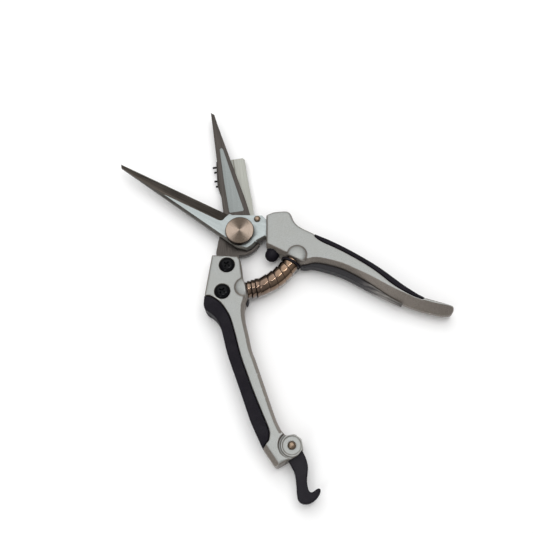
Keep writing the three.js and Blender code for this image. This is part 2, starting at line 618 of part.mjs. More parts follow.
// Cuts the latch's end of the lower handle: a slot for the hook between two ears, the sunk boss round the
// pin on the front, and the pin's bore.
function latchEnd(casting) {
  const slot = drum(LATCH_POCKET_RADIUS, HOOK_Z - GAP, HOOK_TOP + GAP, 32);
  const mouth = prism(
    outline([-4.6, -4.4], [[-4.2, -14], [16, -14], [16, 3.5], [3, 3.5]]),
    HOOK_Z - GAP,
    HOOK_TOP + GAP,
  );
  const rimOuter = LATCH_BOSS_RADIUS - LATCH_RIM_INSET;
  const rimTop = LATCH_EAR_TOP + LATCH_RIM_HEIGHT;
  const sink = turned([
    [0, LATCH_EAR_TOP], [rimOuter - LATCH_RIM_WIDTH, LATCH_EAR_TOP], [rimOuter - LATCH_RIM_WIDTH, rimTop],
    [rimOuter, rimTop],
    [rimOuter, LATCH_EAR_TOP], [LATCH_POCKET_RADIUS, LATCH_EAR_TOP],
    [LATCH_POCKET_RADIUS, HANDLE_THICKNESS + 1], [0, HANDLE_THICKNESS + 1],
  ], 36);
  const bore = turned([
    [0, -1], [LATCH_PIN_HEAD_RADIUS + GAP, -1], [LATCH_PIN_HEAD_RADIUS + GAP, LATCH_PIN_HEAD_HEIGHT + GAP],
    [LATCH_PIN_RADIUS + GAP, LATCH_PIN_HEAD_HEIGHT + GAP], [LATCH_PIN_RADIUS + GAP, HANDLE_THICKNESS + 1],
    [0, HANDLE_THICKNESS + 1],
  ], 20);
  for (const cut of [slot, mouth, sink, bore]) casting = casting.subtract(at(cut, LATCH_AT));
  return casting;
}

// The hook's outline about its pin, as it hangs when it is let go.
function latchHook() {
  const blade = outline(
    [-4.2, -3],
    { spline: [[-2.9, -7.2], [-0.8, -12.6], [-0.5, -17.5], [-1, -24], [-0.4, -27.2], [2.4, -28.8],
      [5.9, -28.4], [9.2, -26.2], [10.8, -23.8], [10.9, -22.6], [10.1, -22.1], [8.6, -22.6], [6.8, -23.5], [5.4, -23],
      [4.9, -20.6], [5, -17.4], [6, -13.6], [6.5, -10.6], [6, -6.4], [4.6, -2.4]] },
  );
  let hook = roundedPrism(blade, HOOK_Z, HOOK_TOP, 0.5, { steps: 1 });
  hook = hook.add(drum(LATCH_HUB_RADIUS, HOOK_Z, HOOK_TOP, 32));
  const nub = outline([-0.6, 4], [[0.6, 5.5], [1.7, 5.8], [3, 5.1], [4.2, 2.4]]);
  hook = hook.add(prism(nub, HOOK_Z, HOOK_TOP));
  hook = hook.subtract(drum(LATCH_PIN_RADIUS + GAP, 0, HANDLE_THICKNESS, 20));
  return at(hook, LATCH_AT);
}

function latchPin() {
  const head = LATCH_PIN_HEAD_RADIUS;
  const base = LATCH_EAR_TOP + GAP;
  const dome = [0.35, 0.7, 1.05].map((turn) => [
    head * Math.cos(turn),
    base + LATCH_PIN_HEAD_HEIGHT * Math.sin(turn),
  ]);
  return at(turned([
    [0, GAP / 2], [head, GAP / 2], [head, LATCH_PIN_HEAD_HEIGHT], [LATCH_PIN_RADIUS, LATCH_PIN_HEAD_HEIGHT],
    [LATCH_PIN_RADIUS, base], [head, base], ...dome, [0, base + LATCH_PIN_HEAD_HEIGHT],
  ], 20), LATCH_AT);
}

// ---- Pivot ------------------------------------------------

const HEAD_Z = FRONT_TOP + GAP;
const WASHER_Z = REAR_Z - GAP - WASHER_THICKNESS;
const NUT_TOP = WASHER_Z - GAP;

function pivotBolt() {
  const crown = HEAD_Z + BOLT_HEAD_HEIGHT;
  return turned([
    [0, 0], [BOLT_RADIUS, 0], [BOLT_RADIUS, HEAD_Z], [BOLT_HEAD_RADIUS, HEAD_Z],
    [BOLT_HEAD_RADIUS, crown - SHOULDER], [BOLT_HEAD_RADIUS - SHOULDER, crown], [0, crown],
  ], 40);
}

function ring(inner, outer, z0, z1, segments = 32) {
  return turned([[inner, z0], [outer, z0], [outer, z1], [inner, z1], [inner, z0]], segments);
}

function pivotNut() {
  const hexagon = drum(NUT_ACROSS_CORNERS / 2, 0, NUT_TOP, 6);
  return hexagon.subtract(drum(BOLT_RADIUS + GAP, -1, NUT_TOP + 1));
}

const pivotWasher = () => ring(BOLT_RADIUS + GAP, WASHER_RADIUS, WASHER_Z, WASHER_Z + WASHER_THICKNESS);
const pivotBush = () => ring(BOLT_RADIUS + GAP, BUSH_RADIUS, REAR_Z, FRONT_TOP);

// ---- Small pieces ------------------------------------------------

// Pan-head screw with a cross recess, its head up.
function handleScrew(place, recess) {
  const under = HANDLE_THICKNESS - recess + GAP;
  const crown = under + SCREW_HEAD_HEIGHT;
  const head = SCREW_HEAD_RADIUS;
  let screw = turned([
    [0, SCREW_TIP_WALL + GAP], [SCREW_RADIUS, SCREW_TIP_WALL + GAP], [SCREW_RADIUS, under], [head, under],
    [head, crown - 1.1], [head * 0.87, crown - 0.4], [head * 0.6, crown], [0, crown],
  ], 24);
  const slotLength = head * 1.1;
  const slotWidth = head * 0.22;
  for (const turn of [0, Math.PI / 2]) {
    const slot = new THREE.BoxGeometry(slotLength, slotWidth, 2 * DRIVER_SLOT_DEPTH);
    slot.rotateZ(turn + DRIVER_TURN).translate(0, 0, crown);
    screw = screw.subtract(solid(slot));
  }
  return at(screw, place);
}

// The upper handle's screws go in from the rear, with their heads below the rear face.
const rearScrew = (place) => flipZ(handleScrew(place, REAR_SCREW_RECESS));

function rubberBumper() {
  const { x, y } = bumperPlace();
  const nose = [0, 0.3, 0.6, 0.9, 1.2].map((turn) => [
    BUMPER_RADIUS * Math.cos(turn),
    BUMPER_RADIUS * Math.sin(turn),
  ]);
  const back = -BUMPER_LENGTH;
  const bullet = turned([[0, back], [BUMPER_RADIUS, back], ...nose, [0, BUMPER_RADIUS]], 24);
  return bullet.rotate([0, -90, 0]).translate([x, y, MID_Z]);
}

function stopPin() {
  const head = STOP_PIN_HEAD_RADIUS;
  const base = FRONT_TOP + GAP / 3;
  return at(turned([
    [0, REAR_Z], [STOP_PIN_RADIUS, REAR_Z], [STOP_PIN_RADIUS, base], [head, base],
    [head * 0.85, base + STOP_PIN_HEAD_HEIGHT * 0.55], [head * 0.5, base + STOP_PIN_HEAD_HEIGHT * 0.9],
    [0, base + STOP_PIN_HEAD_HEIGHT],
  ], 18), STOP_PIN_AT);
}

// ---- Stem bar under the rear blade ------------------------------------------------

function stemBar() {
  const bottom = BAR_TOP_Y - BAR_LENGTH;
  const below = (drop) => BAR_TOP_Y - drop;
  const shape = outline([-8.6, BAR_TOP_Y], [[7, BAR_TOP_Y], [8.1, below(1.2)], [8.3, below(14.3)],
    [9, below(27.3)], [9, bottom], [-3, bottom], [-7.4, below(25.6)], [-8.6, below(21)],
    [-9.5, below(15.6)],
    [-9.2, below(9.6)]]);
  let bar = prism(shape, BAR_Z, BAR_TOP_Z);
  for (const place of BAR_RIVETS_AT) {
    bar = bar.subtract(at(drum(BAR_RIVET_RADIUS + GAP, 0, REAR_Z, 16), place));
  }
  BAR_PIN_DROPS.forEach((drop, i) => {
    bar = bar.subtract(barPin(drop, i, GAP));
  });
  return bar;
}

// One of the short pins in the bar's free edge, or its hole when it is grown by the clearance.
function barPin(drop, index, grow = 0) {
  const tipX = BAR_PIN_TIP_X + (index % 2) * BAR_PIN_STAGGER;
  const pin = drum(BAR_PIN_RADIUS + grow, 0, BAR_PIN_LENGTH + grow, 12);
  return alongX(pin, tipX, BAR_TOP_Y - drop, BAR_Z + BAR_THICKNESS / 2);
}

const barRivet = (place) => at(drum(BAR_RIVET_RADIUS, BAR_Z, REAR_Z + BAR_RIVET_DEPTH, 16), place);

// ---- Spring ------------------------------------------------

// Double volute spring: turns of strip that step up to the middle and down again, bent along an arc about
// the pivot from one pocket to the other.
function voluteSpring() {
  const seat = SPRING_SEAT_DEPTH / SPRING_RADIUS_FROM_PIVOT;
  const halfOpen = THREE.MathUtils.degToRad(OPEN_ANGLE / 2);
  const lowerEnd = -Math.PI / 2 + Math.asin(LOWER_WALL_X / SPRING_RADIUS_FROM_PIVOT) - halfOpen - seat;
  const upperEnd = -Math.PI / 2 + Math.asin(UPPER_WALL_X / SPRING_RADIUS_FROM_PIVOT) + halfOpen + seat;
  const profile = [[SPRING_BORE_RADIUS, 0]];
  for (let turn = 0; turn < SPRING_TURNS; turn += 1) {
    const share = 1 - Math.abs(turn - (SPRING_TURNS - 1) / 2) / ((SPRING_TURNS - 1) / 2);
    const radius = SPRING_END_RADIUS + (SPRING_MID_RADIUS - SPRING_END_RADIUS) * share;
    profile.push([radius, turn / SPRING_TURNS], [radius, (turn + 1) / SPRING_TURNS]);
  }
  profile.push([SPRING_BORE_RADIUS, 1]);
  for (let step = SPRING_TURNS - 1; step >= 0; step -= 1) {
    profile.push([SPRING_BORE_RADIUS, step / SPRING_TURNS]);
  }
  const barrel = new THREE.LatheGeometry(points(profile), 16);
  const place = barrel.attributes.position;
  for (let i = 0; i < place.count; i += 1) {
    const turn = lowerEnd + (upperEnd - lowerEnd) * place.getY(i);
    const reach = SPRING_RADIUS_FROM_PIVOT - place.getX(i);
    place.setXYZ(i, reach * Math.cos(turn), reach * Math.sin(turn), MID_Z - place.getZ(i));
  }
  return solid(barrel);
}

// ---- Assembly ------------------------------------------------

const shears = new THREE.Group();
const upperHalf = new THREE.Group();
const lowerHalf = new THREE.Group();
upperHalf.rotation.z = THREE.MathUtils.degToRad(OPEN_ANGLE / 2);
lowerHalf.rotation.z = -upperHalf.rotation.z;
shears.add(upperHalf, lowerHalf);

upperHalf.add(
  piece('front_blade', frontBlade(), 'blastedSteel'),
  piece('upper_handle', upperHandle(), 'castAluminium'),
  piece('upper_grip', grip(upperGripOutline()), 'blackRubber'),
  piece('upper_inner_strip', upperStrip(), 'blackPlastic'),
  piece('spring_seat', springSeat(), 'blackPlastic'),
  piece('rubber_bumper', rubberBumper(), 'blackRubber'),
  piece('stop_pin', stopPin(), 'copper'),
);
FRONT_TANG_SCREWS.forEach((place, i) => {
  upperHalf.add(piece(`upper_handle_screw_${i + 1}`, rearScrew(place), 'blackScrew'));
});

lowerHalf.add(
  piece('rear_blade', rearBlade(), 'groundSteel'),
  piece('lower_handle', lowerHandle(), 'castAluminium'),
  piece('lower_grip', grip(lowerGripOutline()), 'blackRubber'),
  piece('lower_inner_strip', lowerStrip(), 'blackPlastic'),
  piece('stem_bar', stemBar(), 'barAluminium'),
  piece('latch_hook', latchHook(), 'blackPlastic'),
  piece('latch_pin', latchPin(), 'copper'),
  piece('pivot_bolt', pivotBolt(), 'nickel'),
  piece('pivot_bush', pivotBush(), 'bronze'),
  piece('pivot_washer', pivotWasher(), 'nickel'),
  piece('pivot_nut', pivotNut(), 'nickel'),
);
REAR_TANG_SCREWS.forEach((place, i) => {
  lowerHalf.add(piece(`lower_handle_screw_${i + 1}`, handleScrew(place, SCREW_RECESS), 'blackScrew'));
});
BAR_PIN_DROPS.forEach((drop, i) => lowerHalf.add(piece(`bar_pin_${i + 1}`, barPin(drop, i), 'blackScrew')));
BAR_RIVETS_AT.forEach((place, i) => lowerHalf.add(piece(`bar_rivet_${i + 1}`, barRivet(place), 'nickel')));

shears.add(piece('volute_spring', voluteSpring(), 'bronze'));

export default shears;
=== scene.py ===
import math

import bmesh
import bpy
from mathutils import Matrix, Vector


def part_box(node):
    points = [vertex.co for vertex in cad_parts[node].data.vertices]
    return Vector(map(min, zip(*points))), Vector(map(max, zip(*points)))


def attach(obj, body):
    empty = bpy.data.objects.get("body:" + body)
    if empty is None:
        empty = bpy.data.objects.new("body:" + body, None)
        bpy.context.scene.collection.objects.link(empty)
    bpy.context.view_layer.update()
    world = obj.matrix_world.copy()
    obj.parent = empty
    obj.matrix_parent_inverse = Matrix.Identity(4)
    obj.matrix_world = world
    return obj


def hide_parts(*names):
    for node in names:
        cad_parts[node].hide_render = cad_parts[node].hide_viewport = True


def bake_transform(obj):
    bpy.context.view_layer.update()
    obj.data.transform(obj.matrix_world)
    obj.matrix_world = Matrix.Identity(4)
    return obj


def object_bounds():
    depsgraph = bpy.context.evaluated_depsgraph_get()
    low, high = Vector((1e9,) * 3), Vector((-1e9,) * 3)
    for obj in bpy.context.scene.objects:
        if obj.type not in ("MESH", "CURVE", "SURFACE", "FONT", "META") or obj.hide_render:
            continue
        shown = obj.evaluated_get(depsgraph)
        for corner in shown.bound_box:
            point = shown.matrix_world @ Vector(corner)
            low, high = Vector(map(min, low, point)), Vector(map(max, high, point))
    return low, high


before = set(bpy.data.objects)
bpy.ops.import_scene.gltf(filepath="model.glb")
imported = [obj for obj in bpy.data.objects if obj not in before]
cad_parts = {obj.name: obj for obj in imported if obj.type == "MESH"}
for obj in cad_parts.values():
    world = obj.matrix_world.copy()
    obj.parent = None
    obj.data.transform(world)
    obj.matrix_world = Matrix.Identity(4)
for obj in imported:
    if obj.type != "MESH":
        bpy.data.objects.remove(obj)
cad_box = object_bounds()

MM = 0.001
BLADE_SWING = math.radians(27.2)  # each half stands this far from the middle line
FAN_TURN = math.radians(34.8)  # where the bright fans of painted reflection on a turned face lie

# ---------------------------------------------------------------- node helpers


def tone(red, green, blue):
    """A colour from its display values, 0 to 255."""
    def linear(value):
        share = value / 255
        return share / 12.92 if share <= 0.04045 else ((share + 0.055) / 1.055) ** 2.4

    return (linear(red), linear(green), linear(blue), 1)


def node(tree, kind, inputs=None, **settings):
    """A shader node with its settings made and its inputs set or joined."""
    made = tree.nodes.new(kind)
    for key, value in settings.items():
        setattr(made, key, value)
    for key, value in (inputs or {}).items():
        if isinstance(value, bpy.types.NodeSocket):
            tree.links.new(value, made.inputs[key])
        else:
            made.inputs[key].default_value = value
    return made


def reckon(tree, operation, first, second=0.0):
    """The outcome of a sum on one or two values."""
    return node(tree, "ShaderNodeMath", {0: first, 1: second}, operation=operation).outputs[0]


def blend_colour(tree, share, first, second, blend_type="MIX"):
    """Two colours mixed by a mask."""
    mix = node(tree, "ShaderNodeMix", data_type="RGBA", blend_type=blend_type)
    for socket, value in ((mix.inputs[0], share), (mix.inputs[6], first), (mix.inputs[7], second)):
        if isinstance(value, bpy.types.NodeSocket):
            tree.links.new(value, socket)
        else:
            socket.default_value = value
    return mix.outputs[2]


def tinted(tree, colour, mask, share, over):
    """A colour with another laid over it where the mask is, at a share of its strength."""
    return blend_colour(tree, reckon(tree, "MULTIPLY", mask, share), colour, over)


def ranged(tree, value, low, high, to_low=0.0, to_high=1.0):
    """A value moved from one range to another and held inside it."""
    inputs = {"Value": value, "From Min": low, "From Max": high, "To Min": to_low, "To Max": to_high}
    return node(tree, "ShaderNodeMapRange", inputs, interpolation_type="SMOOTHSTEP").outputs[0]


def effect(name, inputs, outputs):
    """An empty shader node group with named sockets."""
    tree = bpy.data.node_groups.new(name, "ShaderNodeTree")
    for label, kind, value in inputs:
        socket = tree.interface.new_socket(name=label, in_out="INPUT", socket_type=kind)
        socket.default_value = value
    for label in outputs:
        tree.interface.new_socket(name=label, in_out="OUTPUT", socket_type="NodeSocketFloat")
    return tree, tree.nodes.new("NodeGroupInput"), tree.nodes.new("NodeGroupOutput")


FLOAT = "NodeSocketFloat"
VECTOR = "NodeSocketVector"


def make_grain():
    """Fine speckle of a cast, blasted or moulded skin, with slow cloudiness under it."""
    tree, given, out = effect(
        "surface_grain", [("Scale", FLOAT, 2000.0), ("Detail", FLOAT, 4.0)], ["Speckle", "Cloud"]
    )
    place = node(tree, "ShaderNodeTexCoord").outputs["Object"]
    inputs = {"Vector": place, "Scale": given.outputs["Scale"], "Detail": given.outputs["Detail"]}
    fine = node(tree, "ShaderNodeTexNoise", inputs)
    slow_scale = reckon(tree, "MULTIPLY", given.outputs["Scale"], 0.06)
    slow = node(tree, "ShaderNodeTexNoise", {"Vector": place, "Scale": slow_scale, "Detail": 3.0})
    tree.links.new(ranged(tree, fine.outputs[0], 0.3, 0.7), out.inputs["Speckle"])
    tree.links.new(ranged(tree, slow.outputs[0], 0.3, 0.7), out.inputs["Cloud"])
    return tree


def make_edges():
    """Masks for outer edges, painted bright as partly wear and partly highlight, and inner corners,
    painted dark as shade.
    """
    tree, given, out = effect("edge_wear_and_shading", [("Width", FLOAT, 0.05)], ["Rubbed", "Crease shade"])
    point = node(tree, "ShaderNodeNewGeometry").outputs["Pointiness"]
    place = node(tree, "ShaderNodeTexCoord").outputs["Object"]
    broken = node(tree, "ShaderNodeTexNoise", {"Vector": place, "Scale": 900.0, "Detail": 5.0})
    above = reckon(tree, "SUBTRACT", point, 0.5)
    share = reckon(tree, "DIVIDE", above, given.outputs["Width"])
    uneven = ranged(tree, broken.outputs[0], 0.3, 0.6, 0.35, 1.0)
    # Convex edges: painted light, partly wear and partly painted highlight.
    rubbed_and_highlight = reckon(tree, "MULTIPLY", ranged(tree, share, 0.1, 1.0), uneven)
    # Hollow corners: painted shade.
    crease_shade = ranged(tree, reckon(tree, "MULTIPLY", share, -1.0), 0.1, 1.0)
    tree.links.new(rubbed_and_highlight, out.inputs["Rubbed"])
    tree.links.new(crease_shade, out.inputs["Crease shade"])
    return tree


def make_grinding():
    """Long fine scratches along one direction."""
    tree, given, out = effect(
        "grinding_lines",
        [("Turn", VECTOR, (0.0, 0.0, 0.0)), ("Stretch", VECTOR, (3000.0, 60.0, 3000.0))],
        ["Lines", "Bands"],
    )
    place = node(tree, "ShaderNodeTexCoord").outputs["Object"]
    turned_place = node(
        tree, "ShaderNodeMapping", {"Vector": place, "Rotation": given.outputs["Turn"]}
    ).outputs[0]
    pulled = node(
        tree, "ShaderNodeMapping", {"Vector": turned_place, "Scale": given.outputs["Stretch"]}
    ).outputs[0]
    lines = node(tree, "ShaderNodeTexNoise", {"Vector": pulled, "Scale": 1.0, "Detail": 3.0})
    bands = node(tree, "ShaderNodeTexNoise", {"Vector": pulled, "Scale": 0.2, "Detail": 2.0})
    tree.links.new(ranged(tree, lines.outputs[0], 0.3, 0.7), out.inputs["Lines"])
    tree.links.new(ranged(tree, bands.outputs[0], 0.35, 0.65), out.inputs["Bands"])
    return tree


def make_slopes():
    """Mask of the faces that lean away from the flat of a casting, where shade is painted."""
    tree, given, out = effect(
        "leaning_faces", [("Flat above", FLOAT, 0.93), ("Full below", FLOAT, 0.8)], ["Leaning"]
    )
    normal = node(tree, "ShaderNodeNewGeometry").outputs["Normal"]
    height = node(tree, "ShaderNodeSeparateXYZ", {0: normal}).outputs["Z"]
    level = reckon(tree, "ABSOLUTE", height)
    inputs = {"Value": level, "From Min": given.outputs["Full below"]}
    inputs.update({"From Max": given.outputs["Flat above"], "To Min": 1.0, "To Max": 0.0})
    mask = node(tree, "ShaderNodeMapRange", inputs, interpolation_type="SMOOTHSTEP")
    tree.links.new(mask.outputs[0], out.inputs["Leaning"])
    return tree


def make_spinning():
    """Rings of a face turned on a lathe and soft opposite fans of painted reflection, about the piece's
    own axis.
    """
    tree, given, out = effect("lathe_rings_and_reflection", [("Spacing", FLOAT, 9000.0)], ["Rings", "Reflection fans"])
    place = node(tree, "ShaderNodeTexCoord").outputs["Object"]
    axes = node(tree, "ShaderNodeSeparateXYZ", {0: place})
    flat = node(tree, "ShaderNodeCombineXYZ", {"X": axes.outputs[0], "Y": axes.outputs[1]})
    radius = node(tree, "ShaderNodeVectorMath", {0: flat.outputs[0]}, operation="LENGTH")
    along = reckon(tree, "MULTIPLY", radius.outputs["Value"], given.outputs["Spacing"])
    inputs = {"W": along, "Scale": 1.0, "Detail": 2.0}
    rings = node(tree, "ShaderNodeTexNoise", inputs, noise_dimensions="1D")
    # The fans: painted bright and dark wedges of reflection.
    turn = reckon(tree, "ARCTAN2", axes.outputs[1], axes.outputs[0])
    doubled = reckon(tree, "MULTIPLY", reckon(tree, "ADD", turn, FAN_TURN), 2.0)
    reflection_fans = reckon(tree, "COSINE", doubled)
    tree.links.new(ranged(tree, rings.outputs[0], 0.3, 0.7), out.inputs["Rings"])
    tree.links.new(ranged(tree, reflection_fans, -1.0, 1.0), out.inputs["Reflection fans"])
    return tree


GRAIN, EDGES, GRINDING = make_grain(), make_edges(), make_grinding()
SLOPES, SPINNING = make_slopes(), make_spinning()

# ---------------------------------------------------------------- materials


def finish(name, **constants):
    """A new material with a Principled shader, its plain numbers set on the shader."""
    material = bpy.data.materials.new(name)
    material.use_nodes = True
    tree = material.node_tree
    shader = tree.nodes["Principled BSDF"]
    for label, value in constants.items():
        shader.inputs[label.replace("_", " ")].default_value = value
    return material, tree, shader


def use(tree, group, **inputs):
    """A shader group placed in a material."""
    made = node(tree, "ShaderNodeGroup", node_tree=group)
    for label, value in inputs.items():
        made.inputs[label.replace("_", " ")].default_value = value
    return made.outputs


def bump(tree, shader, height, strength, distance):
    inputs = {"Height": height, "Strength": strength, "Distance": distance}
    tree.links.new(node(tree, "ShaderNodeBump", inputs).outputs[0], shader.inputs["Normal"])


def colour_and_roughness(tree, shader, colour, roughness):
    tree.links.new(colour, shader.inputs["Base Color"])
    tree.links.new(roughness, shader.inputs["Roughness"])


def cast_aluminium():
    material, tree, shader = finish("cast_aluminium_finish", Metallic=0.55, IOR=1.5)
    grain = use(tree, GRAIN, Scale=2600.0)
    edges = use(tree, EDGES, Width=0.06)
    leaning = use(tree, SLOPES)["Leaning"]
    face = blend_colour(tree, grain["Speckle"], tone(134, 136, 134), tone(158, 160, 158))
    face = tinted(tree, face, grain["Cloud"], 0.25, tone(142, 142, 136))
    # Leaning faces painted a darker brown-grey: painted shade.
    slope_shade = blend_colour(tree, grain["Speckle"], tone(110, 103, 96), tone(138, 131, 124))
    colour = blend_colour(tree, leaning, face, slope_shade)
    # Outer edges painted pale: partly wear, partly painted highlight. Inner corners painted dark:
    # painted shade.
    colour = tinted(tree, colour, edges["Rubbed"], 0.5, tone(206, 208, 204))
    colour = tinted(tree, colour, edges["Crease shade"], 0.6, tone(66, 60, 55))
    roughness = ranged(tree, grain["Speckle"], 0.0, 1.0, 0.34, 0.52)
    colour_and_roughness(tree, shader, colour, roughness)
    bump(tree, shader, grain["Speckle"], 0.25, 0.00006)
    return material


def steel(name, dark, light, turn=0.0, rough=(0.3, 0.5), speckle=0.0, metal=0.85):
    """A ground or blasted steel face, its lines running along the blade it is on."""
    material, tree, shader = finish(name, Metallic=metal)
    lines = use(tree, GRINDING, Turn=(0.0, 0.0, -turn))
    grain = use(tree, GRAIN, Scale=3200.0)
    mark = blend_colour(tree, speckle, lines["Lines"], grain["Speckle"])
    colour = blend_colour(tree, mark, dark, light)
    colour = tinted(tree, colour, lines["Bands"], 0.3, dark)
    value = node(tree, "ShaderNodeRGBToBW", {0: mark}).outputs[0]
    colour_and_roughness(tree, shader, colour, ranged(tree, value, 0.0, 1.0, *rough))
    bump(tree, shader, value, 0.3, 0.00004)
    return material


def spun_metal(name, dark, light, reflection_fans=0.4, rough=(0.2, 0.34), anisotropy=0.75, side_shade=0.0):
    """A turned head or pin, with rings round its axis, painted fans of reflection and painted shade on
    its sides.
    """
    material, tree, shader = finish(name, Metallic=1.0, Anisotropic=anisotropy)
    marks = use(tree, SPINNING)
    colour = blend_colour(tree, marks["Rings"], dark, light)
    # Dark wedges between the fans: painted reflection.
    shade = reckon(tree, "MULTIPLY", reckon(tree, "SUBTRACT", 1.0, marks["Reflection fans"]), reflection_fans)
    colour = blend_colour(tree, shade, colour, tone(34, 27, 18))
    # Sides painted dark brown: painted shade.
    leaning = use(tree, SLOPES, Flat_above=0.9, Full_below=0.6)["Leaning"]
    colour = tinted(tree, colour, leaning, side_shade, tone(60, 50, 42))
    colour_and_roughness(tree, shader, colour, ranged(tree, marks["Rings"], 0.0, 1.0, *rough))
    around = node(tree, "ShaderNodeTangent", direction_type="RADIAL", axis="Z").outputs[0]
    tree.links.new(around, shader.inputs["Tangent"])
    bump(tree, shader, marks["Rings"], 0.25, 0.00003)
    return material


def moulded(name, dark, light, rough, depth=0.00005, scale=2400.0, strength=0.35, sheen=0.12):
    """Rubber or plastic with a fine moulded skin and a painted sheen on its outer edges."""
    material, tree, shader = finish(name, Metallic=0.0, IOR=1.46, Specular_IOR_Level=sheen)
    grain = use(tree, GRAIN, Scale=scale)
    edges = use(tree, EDGES, Width=0.08)
    colour = blend_colour(tree, grain["Speckle"], dark, light)
    # Outer edges painted lighter: painted sheen.
    colour = tinted(tree, colour, edges["Rubbed"], 0.25, tone(62, 60, 64))
    roughness = ranged(tree, grain["Cloud"], 0.0, 1.0, *rough)
    colour_and_roughness(tree, shader, colour, roughness)
    bump(tree, shader, grain["Speckle"], strength, depth)
    return material


ALUMINIUM = cast_aluminium()
FRONT_FLAT = steel(
    "front_blade_blasted", tone(143, 150, 150), tone(178, 185, 185), BLADE_SWING, (0.36, 0.5), 0.8, 0.7
)
FRONT_GROUND = steel("front_blade_ground", tone(58, 53, 48), tone(90, 83, 76), BLADE_SWING)
FRONT_SPINE = steel("front_blade_spine", tone(78, 76, 72), tone(108, 106, 101), BLADE_SWING)
REAR_PANEL = steel(
    "rear_blade_panel", tone(117, 122, 121), tone(141, 146, 145), -BLADE_SWING, (0.4, 0.5), 0.6, 0.7
)
REAR_BORDER = steel("rear_blade_border", tone(57, 53, 50), tone(82, 77, 73), -BLADE_SWING)


FOLD_AT = 0.0014  # the fold line's place across the bar, in metres
FOLD_HALF_WIDTH = 0.0001
FOLD_FADE = 0.0004
FREE_EDGE_DARK = -0.0072  # the bar is dark beyond this place across it
FREE_EDGE_PALE = -0.0062  # and pale from here on


def bar_metal():
    """Pale brushed bar: darker along its free edge, with painted shade along a fold line beside the
    blade.
    """
    pale, worn = tone(143, 144, 137), tone(163, 164, 157)
    material, tree, shader = finish("bar_brushed", Metallic=0.6)
    place = node(tree, "ShaderNodeTexCoord").outputs["Object"]
    turned = {"Vector": place, "Rotation": (0.0, 0.0, BLADE_SWING)}
    along_bar = node(tree, "ShaderNodeMapping", turned)
    across = node(tree, "ShaderNodeSeparateXYZ", {0: along_bar.outputs[0]}).outputs["X"]
    lines = use(tree, GRINDING, Turn=(0.0, 0.0, BLADE_SWING))
    colour = blend_colour(tree, lines["Lines"], pale, worn)
    # A dark line painted along the fold: painted shade of the groove.
    beside = reckon(tree, "ABSOLUTE", reckon(tree, "SUBTRACT", across, FOLD_AT))
    fold_shade = ranged(tree, beside, FOLD_HALF_WIDTH, FOLD_FADE, 0.75, 0.0)
    colour = blend_colour(tree, fold_shade, colour, tone(84, 78, 66))
    free_edge = ranged(tree, across, FREE_EDGE_DARK, FREE_EDGE_PALE, 1.0, 0.0)
    colour = blend_colour(tree, free_edge, colour, tone(58, 53, 48))
    colour_and_roughness(tree, shader, colour, ranged(tree, lines["Lines"], 0.0, 1.0, 0.35, 0.5))
    bump(tree, shader, lines["Lines"], 0.3, 0.00004)
    return material


BAR_METAL = bar_metal()
RIVET_METAL = steel("rivet_steel", tone(120, 112, 104), tone(160, 152, 144))
DARK_PIN = steel("pin_dark_steel", tone(10, 9, 8), tone(28, 25, 23))
# The bolt gets strong painted reflection fans and painted shade on its sides.
NICKEL = spun_metal("bolt_nickel", tone(120, 106, 94), tone(168, 154, 142), 0.78, side_shade=0.85)
COPPER = spun_metal("copper_pin", tone(116, 98, 82), tone(158, 140, 122), 0.1, (0.22, 0.34), 0.0)
BRONZE_BUSH = spun_metal("bush_bronze", tone(150, 112, 66), tone(190, 150, 96), 0.0, anisotropy=0.0)
BLACK_SCREW = moulded(
    "black_screw_oxide", tone(4, 4, 6), tone(12, 12, 15), (0.1, 0.16), 0.00002, sheen=0.09
)
RUBBER = moulded("grip_rubber_skin", tone(14, 12, 18), tone(30, 27, 34), (0.5, 0.66))
PLASTIC = moulded(
    "black_plastic_skin", tone(20, 18, 23), tone(32, 29, 36), (0.42, 0.56), 0.00003, 3000.0,
    sheen=0.13,
)


SHADE_GONE_AT = -0.098  # place along the handle where the strip's painted shade is gone and it is all grey, in metres
SHADE_FULL_AT = -0.066  # and where it is still black with full painted shade


def channel_shade_strip():
    """The strip in the handle's channel: black painted shade that gives way to streaked grey towards the
    handle's far end.
    """
    material, tree, shader = finish("strip_channel_shade", IOR=1.46, Specular_IOR_Level=0.25)
    place = node(tree, "ShaderNodeTexCoord").outputs["Object"]
    turned = {"Vector": place, "Rotation": (0.0, 0.0, -BLADE_SWING)}
    along_handle = node(tree, "ShaderNodeMapping", turned)
    distance = node(tree, "ShaderNodeSeparateXYZ", {0: along_handle.outputs[0]}).outputs["Y"]
    marks = use(tree, GRINDING, Turn=(0.0, 0.0, -BLADE_SWING), Stretch=(500.0, 90.0, 500.0))
    streaks = marks["Lines"]
    grain = use(tree, GRAIN, Scale=2600.0)["Speckle"]
    black = blend_colour(tree, grain, tone(22, 20, 24), tone(44, 43, 46))
    grey = blend_colour(tree, streaks, tone(70, 66, 63), tone(150, 146, 141))
    # How much painted shade is left: it fades out towards the handle's far end.
    far = ranged(tree, distance, SHADE_GONE_AT, SHADE_FULL_AT, 1.0, 0.0)
    streak_shift = reckon(tree, "MULTIPLY", reckon(tree, "SUBTRACT", streaks, 0.5), 0.35)
    patchy = ranged(tree, reckon(tree, "ADD", far, streak_shift), 0.1, 0.9)
    share = reckon(tree, "MULTIPLY", patchy, ranged(tree, far, 0.02, 0.2))
    tree.links.new(blend_colour(tree, share, black, grey), shader.inputs["Base Color"])
    shader.inputs["Roughness"].default_value = 0.5
    bump(tree, shader, grain, 0.3, 0.00003)
    return material


STRIP_CHANNEL_SHADE = channel_shade_strip()


